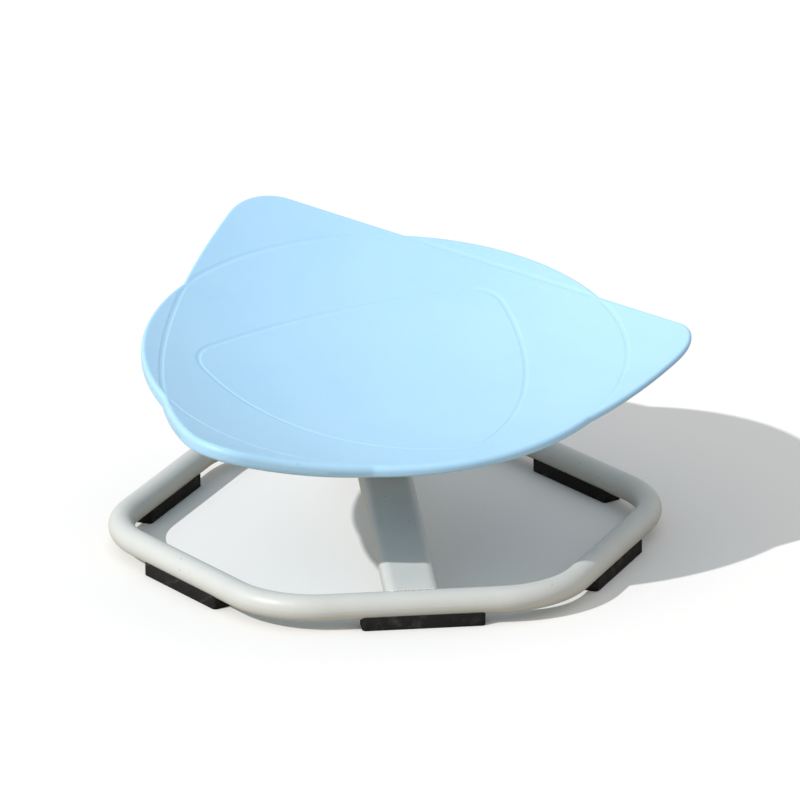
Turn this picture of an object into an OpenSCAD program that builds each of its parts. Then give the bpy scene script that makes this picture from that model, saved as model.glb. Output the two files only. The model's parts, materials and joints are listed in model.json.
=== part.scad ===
// A low spinning seat: a dished three-cornered plastic seat turns on a tilted bearing hub,
// which stands on a flat-oval crossbar welded across a six-sided ring of bent steel tube.
// Millimetres, +Z up. The origin is on the floor under the middle of the ring, and -Y is the front.

/* [Ring tube] */
// Middle of the ring to its sharp corners, on the tube's centreline
ring_corner_r = 266; // [222:1:319]
// Outside diameter of the tube
tube_d = 25; // [21:0.5:30]
// Wall of the tube
tube_wall = 1.5; // [1.2:0.1:2]
// Centreline radius of each of the six bends
tube_bend_r = 90; // [60:1:108]
// Floor to the underside of the tube
tube_floor_gap = 8.8; // [7.4:0.1:10.5]

/* [Crossbar] */
// Width of the flat-oval bar
bar_w = 50; // [42:1:60]
// Thickness of the bar
bar_h = 25; // [21:0.5:30]
// Outside radius of the bar's long edges
bar_edge_r = 9; // [5:0.5:10]
// Wall of the bar
bar_wall = 1.8; // [1.2:0.1:2.5]
// Centreline radius of the bend behind the hub
bar_bend_r = 80; // [60:1:100]
// How far the straight front run goes on behind the hub's axis
bar_past_hub = 42; // [36:1:50]
// How far each coped end stops short of the tube's centreline
bar_end_back = 4; // [3:0.5:6]
// Leg of the weld beads
weld_leg = 2.5; // [1.5:0.1:3]

/* [Feet] */
// Length of each rubber foot along the tube
foot_l = 115; // [96:1:138]
// Width of each foot
foot_w = 21; // [18:0.5:24]
// Height of each foot at its lips, beside the tube
foot_h = 13; // [11:0.5:14]
// Radius of the upright corners of each foot
foot_corner_r = 4; // [2:0.5:6]
// How far the front foot sits to the right of the middle of its side
front_foot_shift = 8; // [0:1:12]
// Distance between the two screws of each foot
foot_screw_pitch = 84; // [80:1:90]
// Gap between each foot and the tube, bar and weld over it
foot_clear = 0.1; // [0.05:0.05:0.3]
// Shank diameter of the foot screws
foot_screw_d = 4; // [3.5:0.1:4.8]
// Head diameter of the foot screws
foot_screw_head_d = 8; // [7:0.1:9]
// Head height of the foot screws
foot_screw_head_h = 2.5; // [2:0.1:3]
// Height above the floor of the face that the screw heads bear on
foot_recess = 4.5; // [4:0.1:5.5]
// Gap round each screw head in its well
foot_well_gap = 0.5; // [0.3:0.1:0.8]

/* [Hub] */
// Lean of the spin axis towards the front, in degrees
tilt = 9; // [7.5:0.1:11]
// Bore of the two ball bearings, and diameter of the post through them
bearing_bore = 20; // [18:0.5:22]
// Outside diameter of the two ball bearings
bearing_od = 42; // [40:0.5:46]
// Width of each bearing
bearing_w = 12; // [10:0.5:14]
// Diameter of the bearing balls
ball_d = 6.35; // [5.5:0.05:7]
// Number of balls in each bearing
ball_count = 9; // [7:1:9]
// Bar's top face to the lower bearing
collar_h = 12; // [10:0.5:16]
// Diameter of the post's collar under the lower bearing
collar_d = 26; // [24:0.5:27]
// Diameter of the post's welded base
post_base_d = 32; // [30:0.5:34]
// Height of the post's welded base
post_base_h = 4; // [3:0.5:5]
// Distance between the two bearings
spacer_l = 16; // [13:0.5:20]
// Outside diameter of the housing that turns round the bearings
housing_d = 52; // [50:0.5:60]
// Bar's top face to the housing's lower end
housing_floor = 8; // [7:0.5:9]
// Inside diameter of the land between the two bearing seats
land_d = 35; // [33:0.5:36]
// Diameter of the steel plate under the seat
plate_d = 130; // [120:1:150]
// Thickness of the steel plate under the seat
plate_t = 4; // [3:0.5:6]
// Thread diameter at the top of the post
post_thread_d = 16; // [14:1:16]
// Width across flats of the lock nut
nut_af = 24; // [22:0.5:27]
// Height of the lock nut
nut_h = 8; // [6:0.5:10]
// How far the thread stands out past the nut
thread_past_nut = 1.5; // [0.5:0.1:3]
// Thickness of the lock washer
washer_t = 2; // [1.5:0.1:2.5]
// Radial clearance of pressed and threaded pairs
press_gap = 0.02; // [0.01:0.01:0.05]
// Radial clearance between the balls and their grooves
ball_gap = 0.05; // [0.02:0.01:0.08]

/* [Seat fixing] */
// Number of bolts through the plate into the seat
bolt_count = 4; // [3:1:6]
// Diameter of the bolt circle
bolt_circle_d = 100; // [94:1:106]
// Bolt diameter
bolt_d = 8; // [6:1:8]
// Gap round each bolt in the plate
bolt_hole_gap = 0.5; // [0.3:0.1:0.8]
// Length of the bolt's shank
bolt_l = 19; // [16:1:22]
// Width across flats of the bolt heads
bolt_af = 13; // [10:0.5:14]
// Height of the bolt heads
bolt_head_h = 5.3; // [4:0.1:6]
// Outside diameter of the bolt washers
bolt_washer_d = 17; // [15:0.5:18]
// Thickness of the bolt washers
bolt_washer_t = 1.6; // [1:0.1:2]
// Outside diameter of the threaded inserts
insert_d = 12; // [10:0.5:13]
// Length of the threaded inserts
insert_l = 14; // [12:0.5:15]

/* [Seat] */
// Radius of the round disc that is part of the seat's outline
disc_r = 230.5; // [216:0.5:245]
// Middle of the seat to the middle of each curved side of the three-cornered outline
tri_mid_r = 212.5; // [200:0.5:222]
// Radius of those three curved sides
tri_side_r = 570; // [480:1:680]
// Radius that rounds the three corners
tri_tip_r = 55; // [46:1:66]
// Turn of the three-cornered outline about the spin axis at rest
tri_turn = 169.9; // [150:0.1:190]
// Middle to the sides of the small three-cornered groove
small_mid_r = 135; // [112:1:160]
// Radius of the small groove's three sides
small_side_r = 340; // [300:1:400]
// Radius that rounds the small groove's corners
small_tip_r = 40; // [33:1:48]
// Radius of the sphere that dishes the seat
bowl_r = 620; // [520:1:740]
// Thickness of the seat's skin
seat_wall = 4; // [3.3:0.1:5]
// Depth of the rim and of the ribs under the seat
rim_depth = 10; // [8.5:0.1:12]
// Thickness of the rim
rim_wall = 4; // [3.3:0.1:5]
// Thickness of the ribs
rib_t = 3; // [2.5:0.1:4]
// Wall of the bosses round the threaded inserts, and room between the housing and its wall
boss_wall = 4.5; // [3.8:0.1:5]
// Number of ribs outside the plate
rib_count = 12; // [6:3:12]
// Radius of the ring rib
ring_rib_r = 135; // [115:1:160]
// Top of the seat's middle to the pad that the plate bears on
pad_depth = 23.5; // [22:0.5:28]
// Width of the grooves in the seat's top
groove_w = 4.5; // [3:0.5:6]
// Depth of the grooves
groove_d = 1; // [0.5:0.1:1.5]

/* [Hidden] */
$fn = 96;

paint = "silver";
steel = "gainsboro";
rubber = "dimgray";
zinc = "lightgray";
plastic = "lightskyblue";
nylon = "ivory";
brass = "goldenrod";

slack = 1;                       // how far cutting bodies run past what they cut
overrun = 3;                     // degrees that a bend is made too long before it is trimmed
bend_thinning = 0.01;            // what the bending takes off each face of the bar's wall
tip_ease = 0.1;                  // lets each corner's circle cross the sides instead of only touching them
side_count = 6;
side_angle = 360 / side_count;
tube_r = tube_d / 2;
tube_z = tube_floor_gap + tube_r;
ring_flat_r = ring_corner_r * cos(side_angle / 2);
bend_centre_r = (ring_flat_r - tube_bend_r) / cos(side_angle / 2);
side_l = ring_corner_r - 2 * tube_bend_r * tan(side_angle / 2);
front_side = 4;
rear_side = 1;

// Heights above the bar's top face, along the spin axis.
lower_bearing_h = collar_h;
land_h = lower_bearing_h + bearing_w;
upper_bearing_h = land_h + spacer_l;
plate_h = upper_bearing_h + bearing_w;
pad_h = plate_h + plate_t;
seat_h = pad_h + pad_depth;
nut_bottom_h = plate_h + washer_t;
post_top_h = nut_bottom_h + nut_h + thread_past_nut;

// The axis passes over the middle of the ring at the seat's top.
hub_s = (ring_flat_r + (bar_h / 2 + seat_h) * sin(tilt)) / cos(tilt);
front_run_l = hub_s + bar_past_hub;

// The bar's path in the Y-Z plane: [y, z].
bar_front = [-ring_flat_r, tube_z];
bar_rear = [ring_flat_r, tube_z];
bend_start = bar_front + front_run_l * [cos(tilt), sin(tilt)];
bend_centre = bend_start + bar_bend_r * [sin(tilt), -cos(tilt)];
to_rear = bar_rear - bend_centre;
rear_slope = atan2(to_rear[1], to_rear[0]) - asin(bar_bend_r / norm(to_rear));
rear_run_l = sqrt(to_rear * to_rear - bar_bend_r * bar_bend_r);

// Bearing sections.
pitch_r = (bearing_bore + bearing_od) / 4;
race_land = 2.25;                // pitch circle to the shoulder of each race
seal_t = 0.8;
seal_lip_gap = 0.35;
cage_half_t = 1.2;
cage_half_h = 3.8;
pocket_gap = 0.12;

module ring_side(k) {
    rotate([0, 0, side_angle * (k + 0.5)])
        translate([ring_flat_r, 0, tube_z])
            children();
}

// A straight run of a section, set r from the middle of the bend it meets and heading for +Y.
module run(r, start, l) {
    translate([r, start, 0])
        rotate([-90, 0, 0])
            linear_extrude(height = l)
                children();
}

// A bend of the first child, a section, round the origin. It is trimmed where the second begins.
module bend(r, angle) {
    difference() {
        rotate_extrude(angle = angle + overrun)
            translate([r, 0])
                children(0);
        rotate([0, 0, angle])
            translate([0, 0, -r])
                cube(2 * r);
    }
    rotate([0, 0, angle])
        children(1);
}

module tube_section() {
    difference() {
        circle(r = tube_r);
        circle(r = tube_r - tube_wall);
    }
}

// From the middle of the front side to the right-hand corner, with the corner's bend run past it.
module ring_quarter_path() {
    translate([side_l / 2, tube_bend_r - ring_flat_r, tube_z])
        rotate([0, 0, -90]) {
            run(tube_bend_r, -side_l / 2, side_l / 2)
                tube_section();
            bend(tube_bend_r, side_angle) {
                tube_section();
                union() {
                    run(tube_bend_r, 0, side_l)
                        tube_section();
                    translate([0, side_l, 0])
                        rotate_extrude(angle = side_angle)
                            translate([tube_bend_r, 0])
                                tube_section();
                }
            }
        }
}

module ring_quarter() {
    difference() {
        ring_quarter_path();
        translate([0, 0, -slack])
            cube([2 * ring_corner_r, ring_corner_r, 2 * tube_z]);
    }
}

// A cylinder along one side of the ring.
module tube_at_side(k, r, l) {
    ring_side(k)
        rotate([90, 0, 0])
            cylinder(r = r, h = l, center = true);
}

module rounded_rect(w, h, r) {
    square([w - 2 * r, h], center = true);
    square([w, h - 2 * r], center = true);
    for (x = [-1, 1], y = [-1, 1])
        translate([x * (w / 2 - r), y * (h / 2 - r)])
            circle(r = r);
}

// The bar's section, grown by a given amount all round: X is its thickness, Y its width.
module bar_section(grow = 0) {
    rounded_rect(bar_h + 2 * grow, bar_w + 2 * grow, bar_edge_r + grow);
}

module bar_wall_section(thinning = 0) {
    difference() {
        bar_section(-thinning);
        bar_section(thinning - bar_wall);
    }
}

module along_bar_front() {
    translate([0, bar_front[0], bar_front[1]])
        rotate([tilt, 0, 0])
            children();
}

module along_bar_rear() {
    translate([0, bar_rear[0], bar_rear[1]])
        rotate([rear_slope, 0, 0])
            children();
}

// The front run, the bend behind the hub and the rear run.
module bar_path() {
    along_bar_front()
        translate([0, front_run_l, -bar_bend_r])
            rotate([0, -90, 0]) {
                run(bar_bend_r, bar_end_back - front_run_l, front_run_l - bar_end_back)
                    bar_wall_section();
                bend(bar_bend_r, tilt - rear_slope) {
                    bar_wall_section(bend_thinning);
                    run(bar_bend_r, 0, rear_run_l - bar_end_back)
                        bar_wall_section();
                }
            }
}

// The weld bead hugs both the bar and the tube it is coped to.
module bar_bead(start) {
    rotate([0, -90, 0])
        run(0, start, tube_d)
            difference() {
                bar_section(weld_leg);
                bar_section();
            }
}

// On the bar's top face, with +Z along the spin axis.
module at_hub() {
    along_bar_front()
        translate([0, hub_s, bar_h / 2])
            children();
}

module at_seat() {
    at_hub()
        translate([0, 0, seat_h])
            children();
}

module tube(r_out, r_in, h) {
    difference() {
        cylinder(r = r_out, h = h);
        translate([0, 0, -slack])
            cylinder(r = r_in, h = h + 2 * slack);
    }
}

module on_bolt_circle() {
    for (k = [0 : bolt_count - 1])
        rotate([0, 0, (k + 0.5) * 360 / bolt_count])
            translate([bolt_circle_d / 2, 0, 0])
                children();
}

module hex_prism(af, h) {
    cylinder(d = af / cos(30), h = h, $fn = 6);
}

module foot_shift(k) {
    translate([0, k == front_side ? front_foot_shift : 0, 0])
        children();
}

// On the floor under the middle of a ring side: +X points outwards, Y runs along the tube.
module at_foot(k) {
    rotate([0, 0, side_angle * (k + 0.5)])
        translate([ring_flat_r, 0, 0])
            foot_shift(k)
                children();
}

module at_foot_screws() {
    for (y = [-0.5, 0.5])
        translate([0, y * foot_screw_pitch, 0])
            children();
}

module ring_tube() {
    color(paint)
        difference() {
            for (y = [0, 1])
                mirror([0, y, 0])
                    for (x = [0, 1])
                        mirror([x, 0, 0])
                            ring_quarter();
            for (k = [0 : side_count - 1])
                at_foot(k)
                    at_foot_screws()
                        cylinder(d = foot_screw_d + 2 * press_gap, h = tube_z);
        }
}

module crossbar() {
    color(paint)
        difference() {
            bar_path();
            tube_at_side(front_side, tube_r, bar_w + 2 * slack);
            tube_at_side(rear_side, tube_r, bar_w + 2 * slack);
        }
}

module front_weld() {
    color(paint)
        difference() {
            intersection() {
                along_bar_front()
                    bar_bead(bar_end_back);
                tube_at_side(front_side, tube_r + weld_leg, bar_w + tube_d);
            }
            tube_at_side(front_side, tube_r, bar_w + 2 * tube_d);
        }
}

module rear_weld() {
    color(paint)
        difference() {
            intersection() {
                along_bar_rear()
                    bar_bead(-bar_end_back - tube_d);
                tube_at_side(rear_side, tube_r + weld_leg, bar_w + tube_d);
            }
            tube_at_side(rear_side, tube_r, bar_w + 2 * tube_d);
        }
}

module foot_block(k) {
    at_foot(k)
        difference() {
            linear_extrude(height = foot_h)
                rounded_rect(foot_w, foot_l, foot_corner_r);
            translate([0, 0, tube_z])
                rotate([90, 0, 0])
                    cylinder(r = tube_r + foot_clear, h = foot_l + 2 * slack, center = true);
            at_foot_screws() {
                translate([0, 0, -slack])
                    cylinder(d = foot_screw_head_d + 2 * foot_well_gap, h = foot_recess + slack);
                cylinder(d = foot_screw_d + 2 * press_gap, h = foot_h);
            }
        }
}

module foot(k) {
    color(rubber)
        foot_block(k);
}

// The space that the bar and its weld bead need at the inner lip of a foot.
module bar_notch(start) {
    rotate([0, -90, 0])
        run(0, start, tube_d)
            bar_section(weld_leg + foot_clear);
}

module notched_foot(k) {
    color(rubber)
        difference() {
            foot_block(k);
            along_bar_front()
                bar_notch(bar_end_back - foot_clear);
            along_bar_rear()
                bar_notch(foot_clear - bar_end_back - tube_d);
        }
}

module foot_front() { notched_foot(front_side); }
module foot_front_right() { foot(5); }
module foot_rear_right() { foot(0); }
module foot_rear() { notched_foot(rear_side); }
module foot_rear_left() { foot(2); }
module foot_front_left() { foot(3); }

module foot_screws() {
    color(zinc)
        for (k = [0 : side_count - 1])
            at_foot(k)
                at_foot_screws()
                    translate([0, 0, foot_recess - foot_screw_head_h]) {
                        difference() {
                            cylinder(d = foot_screw_head_d, h = foot_screw_head_h);
                            translate([0, 0, -slack])
                                hex_prism(foot_screw_head_d / 2, foot_screw_head_h / 2 + slack);
                        }
                        cylinder(d = foot_screw_d, h = foot_screw_head_h + tube_floor_gap);
                    }
}

module hub_post() {
    color(steel)
        at_hub() {
            cylinder(d = post_base_d, h = post_base_h);
            cylinder(d = collar_d, h = collar_h);
            cylinder(d = bearing_bore, h = plate_h);
            cylinder(d = post_thread_d, h = post_top_h);
        }
}

module post_weld() {
    color(paint)
        at_hub()
            rotate_extrude()
                polygon([
                    [post_base_d / 2, 0],
                    [post_base_d / 2 + weld_leg, 0],
                    [post_base_d / 2, weld_leg]
                ]);
}

module inner_race(h) {
    color(steel)
        at_hub()
            translate([0, 0, h])
                difference() {
                    tube(pitch_r - race_land, bearing_bore / 2 + press_gap, bearing_w);
                    ball_groove();
                }
}

module outer_race(h) {
    color(steel)
        at_hub()
            translate([0, 0, h])
                difference() {
                    tube(bearing_od / 2, pitch_r + race_land, bearing_w);
                    ball_groove();
                    for (z = [-slack, bearing_w - seal_t])
                        translate([0, 0, z])
                            cylinder(r = pitch_r + race_land + seal_t, h = seal_t + slack);
                }
}

module ball_groove() {
    translate([0, 0, bearing_w / 2])
        rotate_extrude()
            translate([pitch_r, 0])
                circle(d = ball_d + 2 * ball_gap);
}

module balls(h) {
    color(steel)
        at_hub()
            translate([0, 0, h + bearing_w / 2])
                for (k = [0 : ball_count - 1])
                    rotate([0, 0, k * 360 / ball_count])
                        translate([pitch_r, 0, 0])
                            sphere(d = ball_d);
}

module cage(h) {
    color(nylon)
        at_hub()
            translate([0, 0, h + bearing_w / 2])
                difference() {
                    translate([0, 0, -cage_half_h])
                        tube(pitch_r + cage_half_t, pitch_r - cage_half_t, 2 * cage_half_h);
                    for (k = [0 : ball_count - 1])
                        rotate([0, 0, k * 360 / ball_count])
                            translate([pitch_r - 2 * cage_half_t, 0, 0])
                                rotate([0, 90, 0])
                                    cylinder(d = ball_d + 2 * pocket_gap, h = 4 * cage_half_t);
                }
}

module seals(h) {
    color(rubber)
        at_hub()
            for (z = [0, bearing_w - seal_t])
                translate([0, 0, h + z])
                    tube(
                        pitch_r + race_land + seal_t - press_gap,
                        pitch_r - race_land + seal_lip_gap,
                        seal_t
                    );
}

module lower_inner_race() { inner_race(lower_bearing_h); }
module upper_inner_race() { inner_race(upper_bearing_h); }
module lower_outer_race() { outer_race(lower_bearing_h); }
module upper_outer_race() { outer_race(upper_bearing_h); }
module lower_balls() { balls(lower_bearing_h); }
module upper_balls() { balls(upper_bearing_h); }
module lower_cage() { cage(lower_bearing_h); }
module upper_cage() { cage(upper_bearing_h); }
module lower_seals() { seals(lower_bearing_h); }
module upper_seals() { seals(upper_bearing_h); }

module inner_spacer() {
    color(steel)
        at_hub()
            translate([0, 0, land_h])
                tube(pitch_r - race_land, bearing_bore / 2 + press_gap, spacer_l);
}

module lock_washer() {
    color(zinc)
        at_hub()
            translate([0, 0, plate_h])
                tube(pitch_r - race_land, post_thread_d / 2 + press_gap, washer_t);
}

module lock_nut() {
    color(zinc)
        at_hub()
            translate([0, 0, nut_bottom_h])
                difference() {
                    hex_prism(nut_af, nut_h);
                    translate([0, 0, -slack])
                        cylinder(d = post_thread_d + 2 * press_gap, h = nut_h + 2 * slack);
                }
}

// The housing is bored from both ends, and the land between the bores spaces the outer races.
module hub_housing() {
    color(paint)
        at_hub()
            difference() {
                translate([0, 0, housing_floor])
                    cylinder(d = housing_d, h = pad_h - housing_floor);
                cylinder(d = land_d, h = seat_h);
                translate([0, 0, housing_floor - slack])
                    cylinder(d = bearing_od + 2 * press_gap, h = land_h - housing_floor + slack);
                translate([0, 0, upper_bearing_h])
                    cylinder(d = bearing_od + 2 * press_gap, h = seat_h);
            }
}

module hub_plate() {
    color(paint)
        at_hub()
            translate([0, 0, plate_h])
                difference() {
                    tube(plate_d / 2, housing_d / 2 + press_gap, plate_t);
                    translate([0, 0, -slack])
                        on_bolt_circle()
                            cylinder(d = bolt_d + 2 * bolt_hole_gap, h = plate_t + 2 * slack);
                }
}

module hub_weld() {
    color(paint)
        at_hub()
            translate([0, 0, plate_h])
                rotate_extrude()
                    polygon([
                        [housing_d / 2, 0],
                        [housing_d / 2 + weld_leg, 0],
                        [housing_d / 2, -weld_leg]
                    ]);
}

module seat_washers() {
    color(zinc)
        at_hub()
            translate([0, 0, plate_h - bolt_washer_t])
                on_bolt_circle()
                    tube(bolt_washer_d / 2, bolt_d / 2 + press_gap, bolt_washer_t);
}

module seat_bolts() {
    color(zinc)
        at_hub()
            translate([0, 0, plate_h - bolt_washer_t])
                on_bolt_circle() {
                    translate([0, 0, -bolt_head_h])
                        hex_prism(bolt_af, bolt_head_h);
                    cylinder(d = bolt_d, h = bolt_l);
                }
}

module seat_inserts() {
    color(brass)
        at_hub()
            translate([0, 0, pad_h])
                on_bolt_circle()
                    tube(insert_d / 2, bolt_d / 2 + press_gap, insert_l);
}

// A triangle of three outward arcs with rounded corners: its sides face 0, 120 and 240 degrees.
module arc_triangle(mid_r, side_r, tip_r) {
    offset_c = side_r - mid_r;
    tip_s = (sqrt(4 * pow(side_r - tip_r, 2) - 3 * offset_c * offset_c) - offset_c) / 2;
    tip_turn = atan2(tip_s * sin(60), tip_s * cos(60) + offset_c);
    cut_r = tip_s + tip_r * cos(60 - tip_turn);
    intersection() {
        union() {
            circle(r = 2 * cut_r, $fn = 3);
            for (k = [0 : 2])
                rotate(120 * k + 60)
                    translate([tip_s, 0])
                        circle(r = tip_r + tip_ease);
        }
        intersection_for(k = [0 : 2])
            rotate(120 * k)
                translate([-offset_c, 0])
                    circle(r = side_r);
    }
}

module seat_triangle(inset = 0) {
    rotate(tri_turn)
        arc_triangle(tri_mid_r - inset, tri_side_r - inset, tri_tip_r - inset);
}

module small_triangle(inset = 0) {
    rotate(tri_turn + 60)
        arc_triangle(small_mid_r - inset, small_side_r - inset, small_tip_r - inset);
}

module seat_outline(inset = 0) {
    circle(r = disc_r - inset);
    seat_triangle(inset);
}

// A ball whose lowest point is the given depth under the middle of the seat's top.
module bowl(depth) {
    translate([0, 0, bowl_r])
        rotate([90, 0, 0])
            sphere(r = bowl_r + depth, $fn = 240);
}

module upright(low, high) {
    translate([0, 0, low])
        linear_extrude(height = high - low)
            children();
}

module ribs() {
    difference() {
        union() {
            for (k = [0 : rib_count - 1])
                rotate(tri_turn + (k + 0.5) * 360 / rib_count)
                    translate([0, -rib_t / 2])
                        square([2 * disc_r, rib_t]);
            difference() {
                circle(r = ring_rib_r + rib_t / 2);
                circle(r = ring_rib_r - rib_t / 2);
            }
        }
        circle(r = plate_d / 2 - rib_t);
    }
}

module pad_walls() {
    for (r = [plate_d / 2, housing_d / 2 + boss_wall])
        difference() {
            circle(r = r);
            circle(r = r - rib_t);
        }
    on_bolt_circle_2d()
        circle(d = insert_d + 2 * boss_wall);
    for (k = [0 : bolt_count - 1])
        rotate(k * 360 / bolt_count)
            translate([housing_d / 2, -rib_t / 2])
                square([plate_d / 2 - housing_d / 2 - rib_t / 2, rib_t]);
}

module on_bolt_circle_2d() {
    for (k = [0 : bolt_count - 1])
        rotate((k + 0.5) * 360 / bolt_count)
            translate([bolt_circle_d / 2, 0])
                children();
}

module grooves() {
    intersection() {
        difference() {
            seat_triangle();
            seat_triangle(groove_w);
        }
        circle(r = disc_r - 2 * rim_wall);
    }
    intersection() {
        difference() {
            circle(r = disc_r);
            circle(r = disc_r - groove_w);
        }
        seat_triangle(2 * rim_wall);
    }
    difference() {
        small_triangle();
        small_triangle(groove_w);
    }
}

module seat() {
    low = -2 * pad_depth;
    high = bowl_r / 4;
    color(plastic)
        at_seat()
            difference() {
                union() {
                    difference() {
                        intersection() {
                            upright(low, high)
                                seat_outline();
                            bowl(rim_depth);
                        }
                        difference() {
                            upright(low, high)
                                difference() {
                                    seat_outline(rim_wall);
                                    ribs();
                                }
                            bowl(seat_wall);
                        }
                        bowl(0);
                    }
                    difference() {
                        upright(-pad_depth, seat_wall)
                            pad_walls();
                        bowl(seat_wall / 2);
                    }
                }
                intersection() {
                    upright(low, high)
                        grooves();
                    bowl(groove_d);
                }
                on_bolt_circle()
                    translate([0, 0, -pad_depth - slack])
                        cylinder(d = insert_d + 2 * press_gap, h = insert_l + 2 * slack);
            }
}

ring_tube();
crossbar();
front_weld();
rear_weld();
hub_post();
post_weld();
foot_front();
foot_front_right();
foot_rear_right();
foot_rear();
foot_rear_left();
foot_front_left();
foot_screws();
lower_inner_race();
upper_inner_race();
inner_spacer();
lock_washer();
lock_nut();
lower_balls();
lower_cage();
upper_balls();
upper_cage();
lower_outer_race();
upper_outer_race();
lower_seals();
upper_seals();
hub_housing();
hub_plate();
hub_weld();
seat_bolts();
seat_washers();
seat_inserts();
seat();
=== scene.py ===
# %% [markdown]
# # A tilted spinning seat
#
# A dished plastic seat turns on a leaning hub. The hub stands on a flat-oval bar, and the
# bar crosses a six-sided ring of bent steel tube on rubber feet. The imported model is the
# skeleton: its ring, bar and hub parts keep their shape and get a finish here. The seat,
# the feet, the welds and the bolts are made again with the roundings that catch the light.

# %% Load the skeleton
import json
import math

import bmesh
import bpy
import numpy as np
from mathutils import Matrix, Vector


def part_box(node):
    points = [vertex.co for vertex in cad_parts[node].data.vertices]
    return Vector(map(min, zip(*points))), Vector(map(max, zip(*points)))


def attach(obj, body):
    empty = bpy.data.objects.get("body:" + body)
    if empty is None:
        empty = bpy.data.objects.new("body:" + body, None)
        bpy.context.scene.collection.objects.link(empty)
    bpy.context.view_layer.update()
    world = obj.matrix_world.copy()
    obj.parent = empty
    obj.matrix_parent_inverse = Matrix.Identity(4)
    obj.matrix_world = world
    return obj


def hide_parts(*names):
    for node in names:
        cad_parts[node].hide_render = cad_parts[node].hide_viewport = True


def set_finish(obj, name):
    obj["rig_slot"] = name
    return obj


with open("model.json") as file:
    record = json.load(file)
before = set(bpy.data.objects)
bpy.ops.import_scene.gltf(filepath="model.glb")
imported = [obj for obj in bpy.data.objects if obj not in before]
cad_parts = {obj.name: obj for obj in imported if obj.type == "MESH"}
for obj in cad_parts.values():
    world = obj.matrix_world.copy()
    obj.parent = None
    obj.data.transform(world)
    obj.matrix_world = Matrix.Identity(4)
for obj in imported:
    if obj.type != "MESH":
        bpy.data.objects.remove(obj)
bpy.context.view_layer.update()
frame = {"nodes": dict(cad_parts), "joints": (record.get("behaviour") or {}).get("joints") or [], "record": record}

MM = 0.001
nodes = frame["nodes"]
scene = bpy.context.scene

# %% [markdown]
# Everything above the bar leans with the spin axis. A small frame of its own, with its
# origin on the axis at the top of the seat and Z along the axis, lets the seat be drawn
# as if it lay flat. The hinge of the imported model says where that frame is.

# %% The leaning frame of the seat and hub
spin = next(joint for joint in frame["joints"] if joint["name"] == "seat_spin")
spin_axis = Vector(spin["axis"]).normalized()
side_axis = Vector((1, 0, 0))
seat_frame = Matrix.Translation(Vector(spin["pos_m"])) @ Matrix(
    (side_axis, spin_axis.cross(side_axis), spin_axis)
).transposed().to_4x4()
lean = math.atan2(-spin_axis.y, spin_axis.z)
print("lean", round(math.degrees(lean), 2), "degrees")

# %% [markdown]
# ## Helpers for meshes
#
# Each piece is a list of points and faces that becomes one closed mesh. Faces are shaded
# smooth, and edges sharper than a given angle are marked so that they stay crisp.

# %% Points and faces to a piece
def make_piece(name, points, faces, place=None, sharp=35):
    mesh = bpy.data.meshes.new(name)
    mesh.from_pydata([tuple(p) for p in points], [], [tuple(f) for f in faces])
    if place is not None:
        mesh.transform(place)
    work = bmesh.new()
    work.from_mesh(mesh)
    bmesh.ops.recalc_face_normals(work, faces=work.faces)
    work.to_mesh(mesh)
    work.free()
    piece = bpy.data.objects.new(name, mesh)
    scene.collection.objects.link(piece)
    crisp(piece, sharp)
    return piece


def crisp(piece, angle):
    piece.data.shade_smooth()
    piece.data.set_sharp_from_angle(angle=math.radians(angle))


# %% Rings of points joined into a skin
def loft(rings, closed_ends=True, loop=False):
    """Joins rings of equal length. With loop, the last ring joins the first."""
    count = len(rings[0])
    points = [p for ring in rings for p in ring]
    faces = []
    last = len(rings) if loop else len(rings) - 1
    for i in range(last):
        a, b = i * count, ((i + 1) % len(rings)) * count
        for j in range(count):
            k = (j + 1) % count
            faces.append((a + j, a + k, b + k, b + j))
    if closed_ends and not loop:
        faces.append(tuple(range(count - 1, -1, -1)))
        faces.append(tuple(range(len(points) - count, len(points))))
    return points, faces


def circle_points(radius, z, count=48, centre=(0, 0)):
    turn = [2 * math.pi * j / count for j in range(count)]
    return [(centre[0] + radius * math.cos(t), centre[1] + radius * math.sin(t), z) for t in turn]


def revolve(profile, count=96):
    """Turns a closed profile of (radius, height) pairs about Z."""
    rings = []
    for i in range(count):
        t = 2 * math.pi * i / count
        rings.append([(r * math.cos(t), r * math.sin(t), z) for r, z in profile])
    return loft(rings, loop=True)


# %% Joining and cutting solids
def combine(piece, tool, how):
    """Applies one boolean with the tool, and removes the tool."""
    modifier = piece.modifiers.new(how, "BOOLEAN")
    modifier.operation = how
    modifier.solver = "MANIFOLD"
    modifier.object = tool
    bpy.context.view_layer.update()
    evaluated = piece.evaluated_get(bpy.context.evaluated_depsgraph_get())
    mesh = bpy.data.meshes.new_from_object(evaluated)
    piece.modifiers.clear()
    old = piece.data
    piece.data = mesh
    bpy.data.meshes.remove(old)
    bpy.data.objects.remove(tool)
    return piece


def is_closed(piece):
    work = bmesh.new()
    work.from_mesh(piece.data)
    loose = sum(1 for edge in work.edges if len(edge.link_faces) != 2)
    work.free()
    return loose == 0


# %% [markdown]
# ## The seat's outline
#
# The outline is a round disc laid over a triangle with bulging sides and rounded corners.
# Each curve is written as a radius for every direction, and as a distance from any point.
# The first places the rings of the mesh, and the second shapes the grooves, which follow
# both curves where they run inside the outline.

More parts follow.
